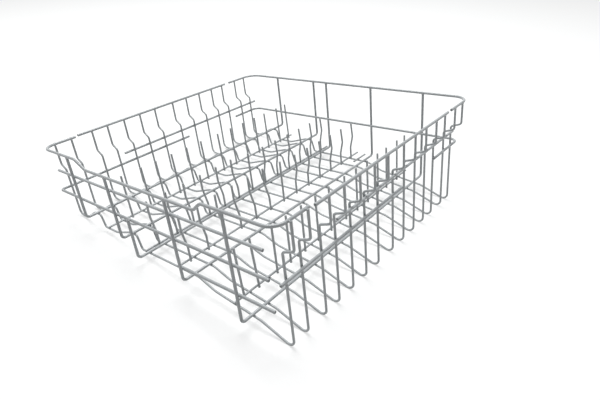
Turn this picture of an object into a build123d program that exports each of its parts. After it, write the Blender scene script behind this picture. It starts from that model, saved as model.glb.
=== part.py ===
from build123d import *
from math import asin, atan2, cos, hypot, tan
import os

# Dishwasher upper basket: bent and welded wire, grey plastic coated.
# Frame: millimetres, X across the machine, Y from front (-) to rear (+), Z up,
# origin under the middle of the basket at the height of its lowest wire.

# Wire sizes, measured over the coating
frame_dia = 4.3
thin_dia = 3.4

# Overall size, between the centre lines of the rim. The sizes below whose names end in _x or _xs
# are places across the basket, counted from the left side of the rim, or if negative from the right.
rim_width = 500.0
rim_length = 483.0
rim_height = 182.0

# Rim: two U wires and two straight side wires that stop short of each other.
# The front U is narrower, and the cross wires beside its arms stand up past it.
front_corner_r = 19.0
rear_corner_r = 25.0
front_arm_length = 55.0
front_stand_up = 1.0
rear_arm_length = 70.0
front_joint_gap = 7.0
rear_joint_gap = 13.0

# Dip in the front rim, below the plane of the rim
dip_depth = 12.5
dip_left_x = 114.0
dip_right_x = -124.5
dip_left_run = 24.0
dip_right_run = 15.0
dip_bend_r = 12.0

# Cross wires: an even group about the middle, and three at each end counted from the rim,
# the whole set a little nearer to the front
middle_spacing = 42.0
even_spacing = 33.7
even_count = 3
cross_shift = -2.5
end_inset = 23.5
end_spacing = 28.3
wide_spacing = 37.9

# Cross wire outline, depths are below the plane of the rim
left_wall_inset = 11.5
right_wall_inset = 17.5
left_step_top = 36.0
left_step_bottom = 44.0
right_step_top = 37.0
right_step_bottom = 43.0
trough_width = 20.5
trough_left_depth = 129.0
left_corner_depth = 126.0
outer_hump_start_x = 66.0
outer_hump_end_x = 83.0
outer_hump_depth = 109.5
tray_start_x = 89.0
tray_end_x = 123.0
tray_depth = 130.5
inner_hump_start_x = 164.0
inner_hump_end_x = 180.0
inner_hump_depth = 117.5
floor_start_x = 186.0
floor_end_x = -182.5
floor_depth = 141.0
ramp_x = -152.0
ramp_depth = 153.0
slope_x = -70.0
slope_depth = 164.5
step_bend_r = 5.0
corner_bend_r = 9.0
hump_bend_r = 5.0
hump_side_bend_r = 15.0
soft_bend_r = 30.0

# Long wires, front to rear, standing on the cross wires
long_wire_xs = {"1": 79.0, "2": 176.0, "3": 208.0, "4": -188.5, "5": -82.0}
dipped_long_wires = ("2", "4")
short_long_wire = "3"
long_bend_r = 6.0

# Front, side and rear wires around the walls, their ends counted from the rim
front_upper_depth = 35.5
front_upper_left_inset = 25.0
front_upper_right_inset = 30.0
band_depth = 74.5
band_right_inset = 27.5
band_left_arm = 277.0
band_corner_r = 6.0
front_lower_depth = 118.0
front_lower_inset = 25.0
front_lower_overhang = 3.0
rear_band_depth = 74.0
rear_band_left_arm = 71.0
rear_band_right_arm = 96.0
rear_band_corner_r = 14.0
left_rail_depth = 57.0
left_rail_front_inset = 132.0
left_rail_rear_inset = 8.0
right_upper_depth = 50.5
right_upper_front_inset = 118.0
right_upper_rear_inset = 28.0
right_lower_depth = 79.0
right_lower_front_inset = 8.0
right_lower_length = 272.0

# Short wire on the rearmost cross wire, for the feed pipe of the spray arm
stub_x = -204.0
stub_inset = 2.0
stub_length = 40.0

# Tine rows: a base wire on the cross wires and pins welded to its right side
base_front_inset = 18.0
base_rear_inset = 0.0
base_xs = {"1": 101.0, "2": 200.0, "3": -223.3, "4": -114.0}
outer_tine_set_back = 13.5
left_tine_count = 13
left_tine_length = 75.0
left_tine_lean = -2.5
right_tine_count = 12
right_tine_length = 77.5
right_front_tine_count = 2
right_front_tine_lean = -5.0
inner_tine_length = 73.5
inner_tine_pitch = 34.65
inner_tine_count = 13
inner_tine_insets = {"2": 26.0, "3": 28.5}
tine_bend_low = 24.0
tine_bend_high = 48.0
tine_bend_r = 12.0
front_bend_shift = -7.5
rear_bend_shift = 5.5
rear_tip_shift = 3.0
straight_index = 6

front_y = -rim_length / 2
rear_y = rim_length / 2
side_x = rim_width / 2
frame_r = frame_dia / 2
thin_r = thin_dia / 2
seat = frame_r + thin_r
front_arm_x = side_x - seat
front_arm_end_y = front_y + front_arm_length
rear_arm_end_y = rear_y - rear_arm_length
left_wall_x = left_wall_inset - side_x
right_wall_x = side_x - right_wall_inset
trough_left_x = left_wall_x + trough_width
band_front_y = front_y + frame_dia
band_rear_y = rear_y - frame_dia
outside_left_x = left_wall_x - seat
outside_right_x = right_wall_x + seat
lowest_depth = rim_height - thin_r

os.makedirs("parts", exist_ok=True)


def height(depth):
    """Height above the origin of a point this far below the rim plane."""
    return rim_height - depth


def across(place):
    """X of a place counted from the left side of the rim, or if negative from the right."""
    return place - side_x if place > 0 else side_x + place


def right_corner_depth():
    """Depth of the sharp corner whose rounded bend just reaches the lowest depth."""
    run = right_wall_x - corner_bend_r - across(slope_x)
    fall = lowest_depth - corner_bend_r - slope_depth
    angle = atan2(fall, run) + asin(corner_bend_r / hypot(run, fall))
    return slope_depth + tan(angle) * (right_wall_x - across(slope_x))


def floor_outline():
    """Corners of the floor of a cross wire as (x, depth, bend radius), left to right."""
    return [
        (left_wall_x, left_corner_depth, corner_bend_r),
        (trough_left_x, trough_left_depth, soft_bend_r),
        (across(outer_hump_start_x), outer_hump_depth, hump_side_bend_r),
        (across(outer_hump_end_x), outer_hump_depth, hump_bend_r),
        (across(tray_start_x), tray_depth, hump_bend_r),
        (across(tray_end_x), tray_depth, soft_bend_r),
        (across(inner_hump_start_x), inner_hump_depth, hump_side_bend_r),
        (across(inner_hump_end_x), inner_hump_depth, hump_bend_r),
        (across(floor_start_x), floor_depth, hump_bend_r),
        (across(floor_end_x), floor_depth, soft_bend_r),
        (across(ramp_x), ramp_depth, soft_bend_r),
        (across(slope_x), slope_depth, soft_bend_r),
        (right_wall_x, right_corner_depth(), corner_bend_r),
    ]


def cross_outline(top_depth):
    """Corners of a whole cross wire whose ends are this far below the rim plane."""
    left_wall = [
        (-side_x, top_depth, 0),
        (-side_x, left_step_top, step_bend_r),
        (left_wall_x, left_step_bottom, step_bend_r),
    ]
    right_wall = [
        (right_wall_x, right_step_bottom, step_bend_r),
        (side_x, right_step_top, step_bend_r),
        (side_x, top_depth, 0),
    ]
    return left_wall + floor_outline() + right_wall


def seat_depth(x, radius):
    """Depth of the centre of a long wire of this radius lying on the cross wires."""
    corners = floor_outline()
    for (x0, d0, _), (x1, d1, _) in zip(corners, corners[1:]):
        if x0 <= x <= x1:
            angle = atan2(d1 - d0, x1 - x0)
            centre = d0 + (d1 - d0) * (x - x0) / (x1 - x0)
            return centre - (radius + thin_r) / cos(angle)
    raise ValueError("the wire lies outside the floor")


def cross_wire_ys():
    """Places of the cross wires from rear to front, the same on both sides of their middle."""
    first = middle_spacing / 2
    last = rear_y - end_inset
    even = [first + i * even_spacing for i in range(even_count + 1)]
    half = even + [last - end_spacing - wide_spacing, last - end_spacing, last]
    return [cross_shift + y for y in half[::-1] + [-y for y in half]]


def bent_wire(name, points, radii, diameter):
    """One wire: a round section swept along straight runs joined by bends."""
    with BuildPart() as wire:
        with BuildLine() as path:
            if len(points) > 2:
                FilletPolyline(*points, radius=radii)
            else:
                Line(*points)
        with BuildSketch(Plane(origin=path.line @ 0, z_dir=path.line % 0)):
            Circle(diameter / 2)
        sweep()
    save(name, wire)


def save(name, built):
    built.part.label = name
    export_step(built.part, f"parts/{name}.step")


def make_cross_wires():
    for number, y in enumerate(cross_wire_ys(), start=1):
        outline = cross_outline(-front_stand_up if y < front_arm_end_y else frame_r)
        radii = [radius for _, _, radius in outline[1:-1]]
        points = [(x, y, height(depth)) for x, depth, _ in outline]
        bent_wire(f"cross_wire_{number:02d}", points, radii, thin_dia)


def make_rims():
    z = rim_height
    low = rim_height - dip_depth
    dip_left = across(dip_left_x)
    dip_right = across(dip_right_x)
    front = [
        (-front_arm_x, front_arm_end_y, z),
        (-front_arm_x, front_y, z),
        (dip_left - dip_left_run / 2, front_y, z),
        (dip_left + dip_left_run / 2, front_y, low),
        (dip_right - dip_right_run / 2, front_y, low),
        (dip_right + dip_right_run / 2, front_y, z),
        (front_arm_x, front_y, z),
        (front_arm_x, front_arm_end_y, z),
    ]
    radii = [front_corner_r] + [dip_bend_r] * 4 + [front_corner_r]
    bent_wire("rim_front", front, radii, frame_dia)
    rear = [
        (-side_x, rear_arm_end_y, z),
        (-side_x, rear_y, z),
        (side_x, rear_y, z),
        (side_x, rear_arm_end_y, z),
    ]
    bent_wire("rim_rear", rear, [rear_corner_r] * 2, frame_dia)
    start_y = front_arm_end_y + front_joint_gap
    end_y = rear_arm_end_y - rear_joint_gap
    straight_along("rim_left", -side_x, z, start_y, end_y, frame_dia)
    straight_along("rim_right", side_x, z, start_y, end_y, frame_dia)


def make_long_wires():
    for number, place in long_wire_xs.items():
        x = across(place)
        run_z = height(seat_depth(x, frame_r))
        top_z = rim_height - frame_r
        front_top_z = top_z
        if number in dipped_long_wires:
            front_top_z = top_z - dip_depth
        if number == short_long_wire:
            front_top_z = height(band_depth) + frame_r
        points = [
            (x, rear_y, top_z),
            (x, rear_y, run_z),
            (x, front_y, run_z),
            (x, front_y, front_top_z),
        ]
        bent_wire(f"long_wire_{number}", points, [long_bend_r] * 2, frame_dia)


def straight_across(name, depth, start_x, end_x):
    """A straight frame wire inside the front uprights, from left to right."""
    z = height(depth)
    ends = [(start_x, band_front_y, z), (end_x, band_front_y, z)]
    bent_wire(name, ends, None, frame_dia)


def straight_along(name, x, z, start_y, end_y, diameter):
    """A straight wire from front to rear."""
    bent_wire(name, [(x, start_y, z), (x, end_y, z)], None, diameter)


def make_wall_wires():
    straight_across("front_wire_upper", front_upper_depth, front_upper_left_inset - side_x,
                    side_x - front_upper_right_inset)
    straight_across("front_wire_lower", front_lower_depth,
                    across(long_wire_xs["4"]) - frame_r - front_lower_overhang,
                    side_x - front_lower_inset)

    z = height(band_depth)
    band = [
        (side_x - band_right_inset, band_front_y, z),
        (outside_left_x, band_front_y, z),
        (outside_left_x, front_y + band_left_arm, z),
    ]
    bent_wire("front_corner_wire", band, [band_corner_r], frame_dia)

    z = height(rear_band_depth)
    rear = [
        (outside_left_x, rear_y - rear_band_left_arm, z),
        (outside_left_x, band_rear_y, z),
        (outside_right_x, band_rear_y, z),
        (outside_right_x, rear_y - rear_band_right_arm, z),
    ]
    bent_wire("rear_band_wire", rear, [rear_band_corner_r] * 2, frame_dia)

    straight_along("left_side_wire", outside_left_x, height(left_rail_depth),
                   front_y + left_rail_front_inset, rear_y - left_rail_rear_inset, frame_dia)
    straight_along("right_side_wire_upper", outside_right_x, height(right_upper_depth),
                   front_y + right_upper_front_inset, rear_y - right_upper_rear_inset, frame_dia)
    start_y = front_y + right_lower_front_inset
    straight_along("right_side_wire_lower", outside_right_x, height(right_lower_depth),
                   start_y, start_y + right_lower_length, frame_dia)


def make_floor_wires():
    """The base wires of the tine rows and the short wire at the rear, on the cross wires."""
    for number, place in base_xs.items():
        x = across(place)
        z = height(seat_depth(x, thin_r))
        straight_along(f"tine_base_{number}", x, z, front_y + base_front_inset,
                       rear_y - base_rear_inset, thin_dia)
    end_y = rear_y - stub_inset
    x = across(stub_x)
    straight_along("rear_stub_wire", x, height(seat_depth(x, thin_r)),
                   end_y - stub_length, end_y, thin_dia)


def tine_row(name, tines):
    """A row of tines as separate solids, each given by its points and bend radii."""
    with BuildPart() as row:
        for points, radii in tines:
            with BuildLine() as path:
                if radii:
                    FilletPolyline(*points, radius=radii)
                else:
                    Line(*points)
            with BuildSketch(Plane(origin=path.line @ 0, z_dir=path.line % 0)):
                Circle(thin_r)
            sweep()
    save(name, row)


def tine_foot(number, angle):
    """Foot of a tine at this angle, touching its base wire: x, and the height of its end."""
    base_x = across(base_xs[number])
    x = base_x + thin_dia / cos(angle) + thin_r * tan(angle)
    return x, height(seat_depth(base_x, thin_r)) - thin_r


def straight_tine(number, y, length, lean):
    """Points of a tine with no bend whose tip leans to the side."""
    x, z = tine_foot(number, atan2(-lean, length))
    return [(x, y, z), (x + lean, y, z + length)], None


def make_tines():
    ys = [y + outer_tine_set_back for y in cross_wire_ys()]
    left_row = [
        straight_tine("1", y, left_tine_length, left_tine_lean) for y in ys[:left_tine_count]
    ]
    tine_row("tines_1", left_row)
    leans = [0.0] * right_tine_count + [right_front_tine_lean] * right_front_tine_count
    right_row = [
        straight_tine("4", y, right_tine_length, lean) for y, lean in zip(ys, leans)
    ]
    tine_row("tines_4", right_row)
    for number, inset in inner_tine_insets.items():
        x, z = tine_foot(number, 0.0)
        row = []
        for i in range(inner_tine_count):
            y = rear_y - inset - i * inner_tine_pitch
            if i == straight_index:
                row.append(straight_tine(number, y, inner_tine_length, 0.0))
                continue
            shift = rear_bend_shift if i < straight_index else front_bend_shift
            tip = rear_tip_shift if i < straight_index else front_bend_shift
            points = [
                (x, y, z),
                (x, y, z + tine_bend_low),
                (x + shift, y, z + tine_bend_high),
                (x + tip, y, z + inner_tine_length),
            ]
            row.append((points, [tine_bend_r] * 2))
        tine_row(f"tines_{number}", row)


make_cross_wires()
make_rims()
make_long_wires()
make_wall_wires()
make_floor_wires()
make_tines()
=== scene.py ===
from math import pi, radians

import bmesh
import bpy
from bpy.props import FloatProperty, FloatVectorProperty, PointerProperty, StringProperty
from bpy.types import Operator, Panel, PropertyGroup
from mathutils import Matrix, Vector


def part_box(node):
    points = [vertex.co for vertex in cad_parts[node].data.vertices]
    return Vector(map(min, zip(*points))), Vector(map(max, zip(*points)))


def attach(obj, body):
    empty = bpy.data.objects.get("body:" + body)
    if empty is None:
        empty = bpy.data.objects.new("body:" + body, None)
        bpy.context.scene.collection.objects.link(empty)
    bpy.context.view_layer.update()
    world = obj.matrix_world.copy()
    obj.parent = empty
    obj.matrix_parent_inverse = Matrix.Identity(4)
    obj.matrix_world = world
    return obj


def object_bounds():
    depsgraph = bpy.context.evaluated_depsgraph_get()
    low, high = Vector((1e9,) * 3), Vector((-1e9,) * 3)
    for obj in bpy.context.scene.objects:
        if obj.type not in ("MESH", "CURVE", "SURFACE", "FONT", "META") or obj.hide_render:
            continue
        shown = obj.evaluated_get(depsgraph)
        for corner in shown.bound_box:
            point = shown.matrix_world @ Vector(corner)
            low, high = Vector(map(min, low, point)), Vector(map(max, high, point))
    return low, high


bl_info = {
    "name": "Dishwasher Basket Dresser",
    "version": (1, 0, 0),
    "blender": (4, 5, 0),
    "location": "3D View > Sidebar > Basket",
    "description": "Coats the wires of a dishwasher basket, adds welds and wire ends, and sets the stage",
    "category": "Object",
}

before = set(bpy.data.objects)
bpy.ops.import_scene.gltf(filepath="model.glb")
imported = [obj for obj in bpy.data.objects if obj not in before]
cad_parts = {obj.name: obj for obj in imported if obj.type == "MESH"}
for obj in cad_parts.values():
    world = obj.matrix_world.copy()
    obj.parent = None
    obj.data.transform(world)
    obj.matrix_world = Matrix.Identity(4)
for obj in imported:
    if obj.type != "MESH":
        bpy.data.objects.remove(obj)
cad_low, cad_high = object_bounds()

MM = 0.001
WHITE = "ffffff"
COAT_NAME = "nylon_coated_wire"
END_NAME = "nylon_dipped_cut_end"

CROSS_WIRES = sorted(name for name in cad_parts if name.startswith("cross_wire"))
LONG_WIRES = sorted(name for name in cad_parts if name.startswith("long_wire"))
TINE_BASES = sorted(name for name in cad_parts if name.startswith("tine_base"))
TINE_ROWS = sorted(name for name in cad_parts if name.startswith("tines"))
SIDE_WIRES = ("left_side_wire", "right_side_wire_upper", "right_side_wire_lower")
FRONT_WIRES = ("front_wire_upper", "front_corner_wire", "front_wire_lower")
REAR_STUB = "rear_stub_wire"
REAR_BAND = "rear_band_wire"
BANDS = ("front_corner_wire", REAR_BAND)
THIN_RADIUS = (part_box(TINE_BASES[0])[1].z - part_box(TINE_BASES[0])[0].z) / 2

# How nearly the faces of a flat wire end agree, and how nearly a wire end faces along an axis
FLAT = 0.9999
STRAIGHT = 0.9

# A wire that stops under the rim ends between these two distances below the top of the rim
PAST_RIM = 3 * MM
RIM_ZONE = 20 * MM

# The templates of the welds, collars and tips are measured in radii of their wire
NECK_SIDES = 14
COLLAR_RADIUS = 1.34
COLLAR_LENGTH = 2.4
COLLAR_RINGS = ((-COLLAR_LENGTH / 2, 0.76), (-0.5, 0.77), (0.0, 0.80), (0.5, 0.88))
TIP_SIDES = 18
TIP_REACH = 0.25
TIP_SLEEVE = 1.3
TIP_SLEEVE_TAPER = 0.94
TIP_EDGE = 0.32
DIMPLE_RIM = 0.14
DIMPLE_DEPTH = 0.12
RING_SLACK = 1e-4
SMOOTH_BELOW = radians(50)


def srgb_to_linear(hex_colour):
    """An sRGB colour written in hex, such as 8a8e90, as the linear RGBA that a shader wants."""
    channels = [int(hex_colour[i : i + 2], 16) / 255 for i in (0, 2, 4)]
    linear = [c / 12.92 if c <= 0.04045 else ((c + 0.055) / 1.055) ** 2.4 for c in channels]
    return (*linear, 1.0)


class CoatingSettings(PropertyGroup):
    """The nylon coat on the wires."""

    coat_colour: StringProperty(
        name="Coat colour",
        description="Mid grey of the coat, as an sRGB hex value",
        default="a3a7a9",
    )
    coat_shade: StringProperty(
        name="Thin coat colour",
        description="Grey where the coat is a little thinner, as an sRGB hex value",
        default="9a9ea0",
    )
    end_colour: StringProperty(
        name="Cut end colour",
        description="Darker grey of the coat in the dimple on a wire end, as an sRGB hex value",
        default="5c6062",
    )
    patch_size: FloatProperty(
        name="Patch size",
        description="Length of the slow changes of tone along a wire",
        default=45 * MM,
        subtype="DISTANCE",
        unit="LENGTH",
    )
    peel_size: FloatProperty(
        name="Orange peel size",
        description="Width of the small waves in the cured coat",
        default=1.6 * MM,
        subtype="DISTANCE",
        unit="LENGTH",
    )
    peel_depth: FloatProperty(
        name="Orange peel depth",
        description="Height of the small waves in the cured coat",
        default=0.05 * MM,
        subtype="DISTANCE",
        unit="LENGTH",
    )
    roughness: FloatProperty(
        name="Roughness",
        description="Roughness of the satin coat",
        default=0.26,
        min=0.0,
        max=1.0,
        subtype="FACTOR",
    )
    roughness_swing: FloatProperty(
        name="Roughness swing",
        description="How far the roughness strays to either side as the tone changes",
        default=0.06,
        min=0.0,
        max=0.2,
        subtype="FACTOR",
    )


class WeldSettings(PropertyGroup):
    """The necks of coat at the welds and the rounded ends of the wires."""

    neck_width: FloatProperty(
        name="Neck width",
        description="Radius of the neck of coat between two wires, as a part of the wire radius",
        default=0.92,
        min=0.3,
        max=0.95,
        subtype="FACTOR",
    )
    neck_waist: FloatProperty(
        name="Neck waist",
        description="How far the middle of a neck is drawn in",
        default=0.82,
        min=0.5,
        max=1.0,
        subtype="FACTOR",
    )
    neck_reach: FloatProperty(
        name="Neck reach",
        description="How deep each end of a neck goes into its wire, as a part of the wire radius",
        default=0.68,
        min=0.2,
        max=0.9,
        subtype="FACTOR",
    )
    tip_growth: FloatProperty(
        name="Tip growth",
        description="How much wider the coat is at a wire end, as a part of the wire radius",
        default=0.06,
        min=0.0,
        max=0.5,
        subtype="FACTOR",
    )


class StageSettings(PropertyGroup):
    """Floor, lamp and camera."""

    azimuth: FloatProperty(
        name="Azimuth",
        description="Direction of the camera round the basket, from the front towards the right",
        default=radians(41.446),
        subtype="ANGLE",
        unit="ROTATION",
    )
    elevation: FloatProperty(
        name="Elevation",
        description="Height angle of the camera above the basket",
        default=radians(27.50),
        subtype="ANGLE",
        unit="ROTATION",
    )
    roll: FloatProperty(
        name="Roll",
        description="Turn of the picture, because the real basket leans to its shallow side",
        default=radians(-5.901),
        subtype="ANGLE",
        unit="ROTATION",
    )
    camera_place: FloatVectorProperty(
        name="Camera place",
        description="Where the camera stands",
        default=(0.54024, -0.53185, 0.42713),
        subtype="TRANSLATION",
        unit="LENGTH",
    )
    lens: FloatProperty(
        name="Lens",
        description="Focal length in millimetres on a sensor 36 mm wide",
        default=29.05,
    )
    floor_lean: FloatProperty(
        name="Floor lean",
        description="Slope of the floor, since the basket stands on its left trough and right bends",
        default=radians(6.4),
        subtype="ANGLE",
        unit="ROTATION",
    )
    foot_x: FloatProperty(
        name="Foot",
        description="How far right of the middle the bends lie that the basket stands on",
        default=0.229,
        subtype="DISTANCE",
        unit="LENGTH",
    )
    floor_size: FloatProperty(
        name="Floor size",
        description="Length and width of the floor",
        default=24.0,
        subtype="DISTANCE",
        unit="LENGTH",
    )
    floor_gap: FloatProperty(
        name="Floor gap",
        description="Room between the lowest bend and the floor",
        default=0.2 * MM,
        subtype="DISTANCE",
        unit="LENGTH",
    )
    floor_colour: StringProperty(
        name="Floor colour",
        description="Colour of the paper for the light that it throws back, as an sRGB hex value",
        default="e6e6e6",
    )
    floor_shown: StringProperty(
        name="Floor colour in view",
        description="Colour of the paper as the camera sees it without the glow, in sRGB hex",
        default="a2a3a3",
    )
    floor_glow: FloatProperty(
        name="Floor glow",
        description="Light added to the paper in view, so that it shows white with a faint shadow",
        default=0.60,
    )
    lamp_size: FloatVectorProperty(
        name="Lamp size",
        description="Width and length of the soft lamp",
        default=(2.1, 1.5),
        size=2,
        unit="LENGTH",
    )
    lamp_place: FloatVectorProperty(
        name="Lamp place",
        description="Where the soft lamp hangs",
        default=(-0.38, 0.53, 2.6),
        subtype="TRANSLATION",
        unit="LENGTH",
    )
    lamp_aim: FloatVectorProperty(
        name="Lamp aim",
        description="The point that the soft lamp faces",
        default=(0.0, 0.0, 0.08),
        subtype="TRANSLATION",
        unit="LENGTH",
    )
    lamp_power: FloatProperty(
        name="Lamp power",
        description="Power of the soft lamp above the basket in watts",
        default=96.0,
    )
    room_light: FloatProperty(
        name="Room light",
        description="Strength of the even light from all around",
        default=0.3,
    )


def add_node(tree, kind, settings=None, links=None):
    """Adds one shader node with its settings and its links from other nodes' outputs."""
    node = tree.nodes.new(kind)
    for key, value in (settings or {}).items():
        if key in node.inputs:
            node.inputs[key].default_value = value
        else:
            setattr(node, key, value)
    for key, source in (links or {}).items():
        tree.links.new(source, node.inputs[key])
    return node


def new_material(name):
    """An empty node material and its tree."""
    material = bpy.data.materials.new(name)
    material.use_nodes = True
    material.node_tree.nodes.clear()
    return material, material.node_tree


def noise(tree, size, detail, roughness):
    """Noise with features of one size, fixed to the object."""
    place = add_node(tree, "ShaderNodeTexCoord")
    return add_node(
        tree,
        "ShaderNodeTexNoise",
        {"Scale": 1 / size, "Detail": detail, "Roughness": roughness},
        {"Vector": place.outputs["Object"]},
    )


def two_tones(tree, factor, dark, light):
    """A change between two tones, each an sRGB colour and the factor where it is pure."""
    tone = add_node(tree, "ShaderNodeValToRGB", None, {"Fac": factor})
    for stop, (colour, position) in zip(tone.color_ramp.elements, (dark, light)):
        stop.position = position
        stop.color = srgb_to_linear(colour)
    return tone


def nylon_coat_material(settings):
    """Nylon powder melted on to hot steel wire: a satin skin with faint waves, softly shining."""
    material, tree = new_material(COAT_NAME)
    patches = noise(tree, settings.patch_size, detail=3.0, roughness=0.55)
    shade, colour = (settings.coat_shade, 0.35), (settings.coat_colour, 0.65)
    tone = two_tones(tree, patches.outputs["Fac"], shade, colour)
    gloss = add_node(
        tree,
        "ShaderNodeMapRange",
        {
            "From Min": 0.3,
            "From Max": 0.7,
            "To Min": settings.roughness - settings.roughness_swing,
            "To Max": settings.roughness + settings.roughness_swing,
        },
        {"Value": patches.outputs["Fac"]},
    )
    peel = noise(tree, settings.peel_size, detail=2.0, roughness=0.5)
    waves = add_node(
        tree,
        "ShaderNodeBump",
        {"Strength": 0.6, "Distance": settings.peel_depth},
        {"Height": peel.outputs["Fac"]},
    )
    skin = add_node(
        tree,
        "ShaderNodeBsdfPrincipled",
        {"IOR": 1.46, "Metallic": 0.0},
        {
            "Base Color": tone.outputs["Color"],
            "Roughness": gloss.outputs["Result"],
            "Normal": waves.outputs["Normal"],
        },
    )
    add_node(tree, "ShaderNodeOutputMaterial", None, {"Surface": skin.outputs["BSDF"]})
    return material


def cut_end_material(settings):
    """Nylon drawn thin over a sheared steel end, so that dark metal shows: dull and mottled."""
    _, tree = new_material(END_NAME)
    grain = noise(tree, settings.peel_size, detail=3.0, roughness=0.6)
    metal, coat = (settings.end_colour, 0.3), (settings.coat_shade, 0.8)
    tone = two_tones(tree, grain.outputs["Fac"], metal, coat)
    skin = add_node(
        tree,
        "ShaderNodeBsdfPrincipled",
        {"IOR": 1.52, "Metallic": 0.0, "Roughness": 0.5},
        {"Base Color": tone.outputs["Color"]},
    )
    add_node(tree, "ShaderNodeOutputMaterial", None, {"Surface": skin.outputs["BSDF"]})


def seen_directly(tree):
    """One where a camera, glossy or clear ray arrives, and nought for light on other surfaces."""
    path = add_node(tree, "ShaderNodeLightPath")
    first = add_node(
        tree,
        "ShaderNodeMath",
        {"operation": "MAXIMUM"},
        {0: path.outputs["Is Camera Ray"], 1: path.outputs["Is Glossy Ray"]},
    )
    return add_node(
        tree,
        "ShaderNodeMath",
        {"operation": "MAXIMUM"},
        {0: first.outputs["Value"], 1: path.outputs["Is Transmission Ray"]},
    )


def lit_or_seen(tree, lit, seen):
    """One shader for the light on other surfaces, and another for what is seen directly."""
    direct = seen_directly(tree)
    inputs = {0: direct.outputs["Value"], 1: lit, 2: seen}
    return add_node(tree, "ShaderNodeMixShader", None, inputs)


def floor_material(settings):
    """Matt white studio paper: it shows white where it is lit, and keeps a faint shadow."""
    material, tree = new_material("white_paper_floor")
    paper, shown = (
        add_node(tree, "ShaderNodeBsdfDiffuse", {"Color": srgb_to_linear(colour)})
        for colour in (settings.floor_colour, settings.floor_shown)
    )
    glow = add_node(
        tree,
        "ShaderNodeEmission",
        {"Color": srgb_to_linear(WHITE), "Strength": settings.floor_glow},
    )
    both = add_node(
        tree,
        "ShaderNodeAddShader",
        None,
        {0: shown.outputs["BSDF"], 1: glow.outputs["Emission"]},
    )
    mix = lit_or_seen(tree, paper.outputs["BSDF"], both.outputs["Shader"])
    add_node(tree, "ShaderNodeOutputMaterial", None, {"Surface": mix.outputs["Shader"]})
    return material


def deselect_all():
    bpy.ops.object.select_all(action="DESELECT")


def centre(node):
    """Middle of a node's box."""
    low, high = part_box(node)
    return (low + high) / 2


def end_discs(node):
    """The flat ends of a node's wires, each as its middle, the way it faces and its radius."""
    shape = bmesh.new()
    shape.from_mesh(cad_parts[node].data)
    left = set(shape.verts)
    discs = []
    while left:
        found = [left.pop()]
        for vertex in found:
            for edge in vertex.link_edges:
                other = edge.other_vert(vertex)
                if other in left:
                    left.remove(other)
                    found.append(other)
        faces = {face for vertex in found for face in vertex.link_faces}
        facing = sum((face.normal for face in faces), Vector()).normalized()
        if all(face.normal.dot(facing) > FLAT for face in faces):
            middle = sum((vertex.co for vertex in found), Vector()) / len(found)
            discs.append((middle, facing, (found[0].co - middle).length))
    shape.free()
    return discs


def turned_to(direction):
    """Rotation that lays a piece's own Z axis along a direction."""
    return Vector((0, 0, 1)).rotation_difference(direction).to_matrix().to_4x4()


def placed(point, direction, radius):
    """Transform that puts a template of unit wire radius at a point, along a direction."""
    return Matrix.Translation(point) @ turned_to(direction) @ Matrix.Scale(radius, 4)


def inner_side_x(point, radius):
    """X of the side that a wire through a point turns to the middle of the basket."""
    return point.x + radius if point.x < 0 else point.x - radius


def floor_welds():
    """Where each long wire, tine base and the rear stub lie on the cross wires."""
    ys = [centre(lower).y for lower in CROSS_WIRES]
    welds = []
    for upper in LONG_WIRES + TINE_BASES + [REAR_STUB]:
        low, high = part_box(upper)
        welds += [Vector((centre(upper).x, y, low.z)) for y in ys if low.y < y < high.y]
    return welds


def under_rim(end):
    """Whether a wire end stops against the underside of the rim."""
    return PAST_RIM < cad_high[2] - end[0].z < RIM_ZONE


def wall_welds():
    """Where side wires, band arms and the front rim's arms touch the walls of the cross wires."""
    ys = [centre(node).y for node in CROSS_WIRES]
    welds = []
    for node in CROSS_WIRES:
        for middle, _, radius in [end for end in end_discs(node) if not under_rim(end)]:
            welds.append(Vector((inner_side_x(middle, radius), middle.y, centre("rim_left").z)))
    for node in SIDE_WIRES:
        low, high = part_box(node)
        x = high.x if centre(node).x < 0 else low.x
        welds += [Vector((x, y, centre(node).z)) for y in ys if low.y < y < high.y]
    for node in BANDS:
        low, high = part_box(node)
        for middle, facing, radius in end_discs(node):
            if abs(facing.y) < STRAIGHT:
                continue
            x = inner_side_x(middle, radius)
            first, last = (low.y, middle.y) if facing.y > 0 else (middle.y, high.y)
            welds += [Vector((x, y, middle.z)) for y in ys if first < y < last]
    return welds


def end_welds():
    """Where the front and rear wires touch the uprights of the long wires."""
    welds = []
    for upright in LONG_WIRES:
        x = centre(upright).x
        front_top = min(end_discs(upright), key=lambda disc: disc[0].y)[0].z
        for node in FRONT_WIRES:
            low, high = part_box(node)
            if low.x < x < high.x and low.z < front_top:
                welds.append(Vector((x, low.y, centre(node).z)))
        welds.append(Vector((x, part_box(REAR_BAND)[1].y, centre(REAR_BAND).z)))
    return welds


def tine_welds():
    """Where each tine touches the side of its base wire."""
    welds = []
    for row in TINE_ROWS:
        for foot, facing, radius in end_discs(row):
            if facing.z < -STRAIGHT:
                welds.append(foot + Vector((-radius, 0, radius)))
    return welds


def rim_ends():
    """The upper ends of the wires that stop under the rim."""
    ends = [end for node in CROSS_WIRES + LONG_WIRES for end in end_discs(node)]
    return [end for end in ends if under_rim(end)]


def free_ends():
    """The ends of the wires that stand free."""
    ends = []
    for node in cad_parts:
        upright = node in CROSS_WIRES + LONG_WIRES
        ends += [end for end in end_discs(node) if not (upright and under_rim(end))]
    return ends


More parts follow.
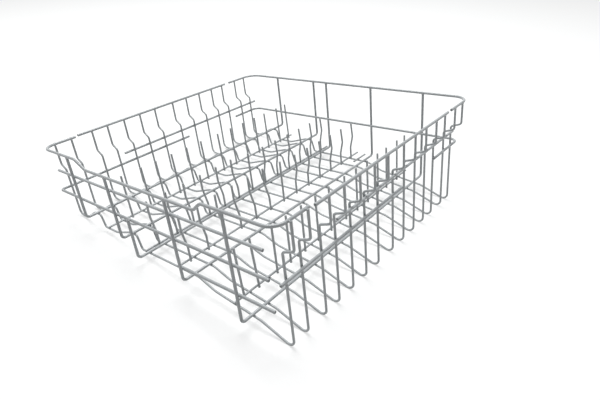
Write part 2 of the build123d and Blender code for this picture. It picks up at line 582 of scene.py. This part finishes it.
def copies_joined(template, places, name):
    """Copies a template to each place, joins the copies and removes the template."""
    if not places:
        raise RuntimeError(f"no places were found for {name}")
    if not template.data.materials:
        template.data.materials.append(bpy.data.materials[COAT_NAME])
    copies = []
    for place in places:
        piece = template.copy()
        piece.data = template.data.copy()
        piece.data.transform(place)
        bpy.context.scene.collection.objects.link(piece)
        copies.append(piece)
    deselect_all()
    for piece in copies:
        piece.select_set(True)
    bpy.context.view_layer.objects.active = copies[0]
    bpy.ops.object.join()
    joined = bpy.context.view_layer.objects.active
    joined.name = name
    joined.data.name = name
    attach(joined, "root")
    bpy.data.objects.remove(template)
    return joined


def select_ring(mesh, height):
    """Selects the vertices of the open mesh in edit mode that lie at one height."""
    bpy.ops.mesh.select_all(action="DESELECT")
    bpy.ops.object.mode_set(mode="OBJECT")
    for vertex in mesh.vertices:
        vertex.select = abs(vertex.co.z - height) < RING_SLACK
    bpy.ops.object.mode_set(mode="EDIT")


def column(radius, length, cuts):
    """A closed upright column with a ring cut in at each height, left in edit mode."""
    deselect_all()
    bpy.ops.mesh.primitive_cylinder_add(
        vertices=NECK_SIDES,
        radius=radius,
        depth=length,
        end_fill_type="NGON",
    )
    piece = bpy.context.active_object
    bpy.ops.object.mode_set(mode="EDIT")
    for height in cuts:
        bpy.ops.mesh.select_all(action="SELECT")
        bpy.ops.mesh.bisect(plane_co=(0, 0, height), plane_no=(0, 0, 1))
    return piece


def shaped(piece, rings):
    """Draws each ring of an open mesh in by its factor, and closes it with smooth sides."""
    for height, factor in rings:
        select_ring(piece.data, height)
        bpy.ops.transform.resize(value=(factor, factor, 1))
    bpy.ops.object.mode_set(mode="OBJECT")
    bpy.ops.object.shade_smooth_by_angle(angle=SMOOTH_BELOW)
    return piece


def neck_template(settings):
    """A neck of coat: a column with a drawn-in waist whose ends go into the wires."""
    reach, waist = settings.neck_reach, settings.neck_waist
    shoulder = (1 + waist) / 2
    rings = ((0.0, waist), (reach / 2, shoulder), (-reach / 2, shoulder))
    neck = column(settings.neck_width, 2 * reach, [height for height, _ in rings])
    return shaped(neck, rings)


def collar_template():
    """A collar of coat round a wire that ends under the rim, flared towards the rim."""
    cuts = [height for height, _ in COLLAR_RINGS[1:]]
    return shaped(column(COLLAR_RADIUS, COLLAR_LENGTH, cuts), COLLAR_RINGS)


def tip_template(growth):
    """The end of the coat: a close sleeve, a rounded edge and a dimple in its face."""
    deselect_all()
    depth = TIP_SLEEVE + TIP_REACH
    bpy.ops.mesh.primitive_cylinder_add(
        vertices=TIP_SIDES,
        radius=1 + growth,
        depth=depth,
        end_fill_type="NGON",
    )
    tip = bpy.context.active_object
    tip.data.transform(Matrix.Translation((0, 0, TIP_REACH - depth / 2)))
    for name in (COAT_NAME, END_NAME):
        tip.data.materials.append(bpy.data.materials[name])
    bpy.ops.object.mode_set(mode="EDIT")
    select_ring(tip.data, TIP_REACH)
    bpy.ops.mesh.bevel(offset=TIP_EDGE, segments=3, profile=0.5, affect="EDGES")
    select_ring(tip.data, TIP_REACH)
    bpy.ops.mesh.inset(thickness=DIMPLE_RIM, depth=-DIMPLE_DEPTH)
    tip.active_material_index = 1
    bpy.ops.object.material_slot_assign()
    return shaped(tip, ((-TIP_SLEEVE, TIP_SLEEVE_TAPER),))


class BASKET_OT_coat_wires(Operator):
    """Give every wire of the basket its nylon coat"""

    bl_idname = "basket.coat_wires"
    bl_label = "Coat Wires"

    def execute(self, context):
        coat = nylon_coat_material(context.scene.basket_coating)
        cut_end_material(context.scene.basket_coating)
        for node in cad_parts.values():
            for slot in node.material_slots:
                slot.material = coat
        return {"FINISHED"}


class BASKET_OT_weld_necks(Operator):
    """Add the necks of coat where crossed wires are welded"""

    bl_idname = "basket.weld_necks"
    bl_label = "Add Weld Necks"

    def execute(self, context):
        settings = context.scene.basket_welds
        groups = (
            ("floor_welds", floor_welds(), Vector((0, 0, 1))),
            ("wall_welds", wall_welds(), Vector((1, 0, 0))),
            ("end_welds", end_welds(), Vector((0, 1, 0))),
            ("tine_welds", tine_welds(), Vector((1, 0, 0))),
        )
        for name, points, across in groups:
            places = [placed(point, across, THIN_RADIUS) for point in points]
            copies_joined(neck_template(settings), places, name)
        return {"FINISHED"}


class BASKET_OT_rim_collars(Operator):
    """Add the collars of coat where wires end under the rim"""

    bl_idname = "basket.rim_collars"
    bl_label = "Add Rim Collars"

    def execute(self, context):
        places = [placed(middle, facing, radius) for middle, facing, radius in rim_ends()]
        copies_joined(collar_template(), places, "rim_collars")
        return {"FINISHED"}


class BASKET_OT_wire_tips(Operator):
    """Round off the coat at the free ends of the wires"""

    bl_idname = "basket.wire_tips"
    bl_label = "Round Wire Tips"

    def execute(self, context):
        settings = context.scene.basket_welds
        places = [placed(middle, facing, radius) for middle, facing, radius in free_ends()]
        copies_joined(tip_template(settings.tip_growth), places, "wire_tips")
        return {"FINISHED"}


class BASKET_OT_stage(Operator):
    """Set the white floor, the soft lamp and the camera of the photograph"""

    bl_idname = "basket.stage"
    bl_label = "Set Stage"

    def execute(self, context):
        settings = context.scene.basket_stage
        scene = context.scene
        scene.view_settings.view_transform = "Standard"
        self.make_floor(settings)
        self.make_room(scene, settings)
        self.make_lamp(scene, settings)
        self.make_camera(scene, settings)
        return {"FINISHED"}

    def make_floor(self, settings):
        """The floor touches the lowest bends and rises under the shallow side."""
        deselect_all()
        bpy.ops.mesh.primitive_plane_add(size=settings.floor_size)
        floor = bpy.context.active_object
        floor.name = "floor"
        lean = Matrix.Rotation(settings.floor_lean, 4, "Y")
        to_foot = Matrix.Translation((settings.foot_x, 0, cad_low[2] - settings.floor_gap))
        floor.data.transform(to_foot @ lean @ Matrix.Translation((-settings.foot_x, 0, 0)))
        floor.data.materials.append(floor_material(settings))

    def make_room(self, scene, settings):
        """Even light from all around, which shows as white."""
        world = bpy.data.worlds.new("white_room")
        world.use_nodes = True
        tree = world.node_tree
        tree.nodes.clear()
        even, white = (
            add_node(
                tree,
                "ShaderNodeBackground",
                {"Color": srgb_to_linear(WHITE), "Strength": strength},
            )
            for strength in (settings.room_light, 1.0)
        )
        mix = lit_or_seen(tree, even.outputs["Background"], white.outputs["Background"])
        add_node(tree, "ShaderNodeOutputWorld", None, {"Surface": mix.outputs["Shader"]})
        scene.world = world

    def make_lamp(self, scene, settings):
        """One large soft lamp above and a little behind the basket."""
        lamp = bpy.data.lights.new("top_softbox", "AREA")
        lamp.shape = "RECTANGLE"
        lamp.size, lamp.size_y = settings.lamp_size
        lamp.energy = settings.lamp_power
        holder = bpy.data.objects.new("top_softbox", lamp)
        scene.collection.objects.link(holder)
        place = Vector(settings.lamp_place)
        facing = (place - Vector(settings.lamp_aim)).normalized()
        holder.matrix_world = Matrix.Translation(place) @ turned_to(facing)

    def make_camera(self, scene, settings):
        """The camera of the photograph."""
        camera = bpy.data.cameras.new("photo_camera")
        camera.sensor_width = 36
        camera.lens = settings.lens
        holder = bpy.data.objects.new("photo_camera", camera)
        scene.collection.objects.link(holder)
        turn = Matrix.Rotation(settings.azimuth, 4, "Z")
        tip = Matrix.Rotation(pi / 2 - settings.elevation, 4, "X")
        roll = Matrix.Rotation(settings.roll, 4, "Z")
        holder.matrix_world = Matrix.Translation(settings.camera_place) @ turn @ tip @ roll
        scene.camera = holder


class BASKET_PT_panel(Panel):
    """Lists the steps that dress the basket"""

    bl_label = "Basket"
    bl_idname = "BASKET_PT_panel"
    bl_space_type = "VIEW_3D"
    bl_region_type = "UI"
    bl_category = "Basket"

    def draw(self, context):
        layout = self.layout
        for operator in OPERATORS:
            layout.operator(operator.bl_idname)


OPERATORS = (
    BASKET_OT_coat_wires,
    BASKET_OT_weld_necks,
    BASKET_OT_rim_collars,
    BASKET_OT_wire_tips,
    BASKET_OT_stage,
)
CLASSES = (CoatingSettings, WeldSettings, StageSettings, *OPERATORS, BASKET_PT_panel)


def register():
    for kind in CLASSES:
        bpy.utils.register_class(kind)
    bpy.types.Scene.basket_coating = PointerProperty(type=CoatingSettings)
    bpy.types.Scene.basket_welds = PointerProperty(type=WeldSettings)
    bpy.types.Scene.basket_stage = PointerProperty(type=StageSettings)


def unregister():
    del bpy.types.Scene.basket_stage
    del bpy.types.Scene.basket_welds
    del bpy.types.Scene.basket_coating
    for kind in reversed(CLASSES):
        bpy.utils.unregister_class(kind)


def main():
    register()
    bpy.ops.basket.coat_wires()
    bpy.ops.basket.weld_necks()
    bpy.ops.basket.rim_collars()
    bpy.ops.basket.wire_tips()
    bpy.ops.basket.stage()


if __name__ == "__main__":
    main()
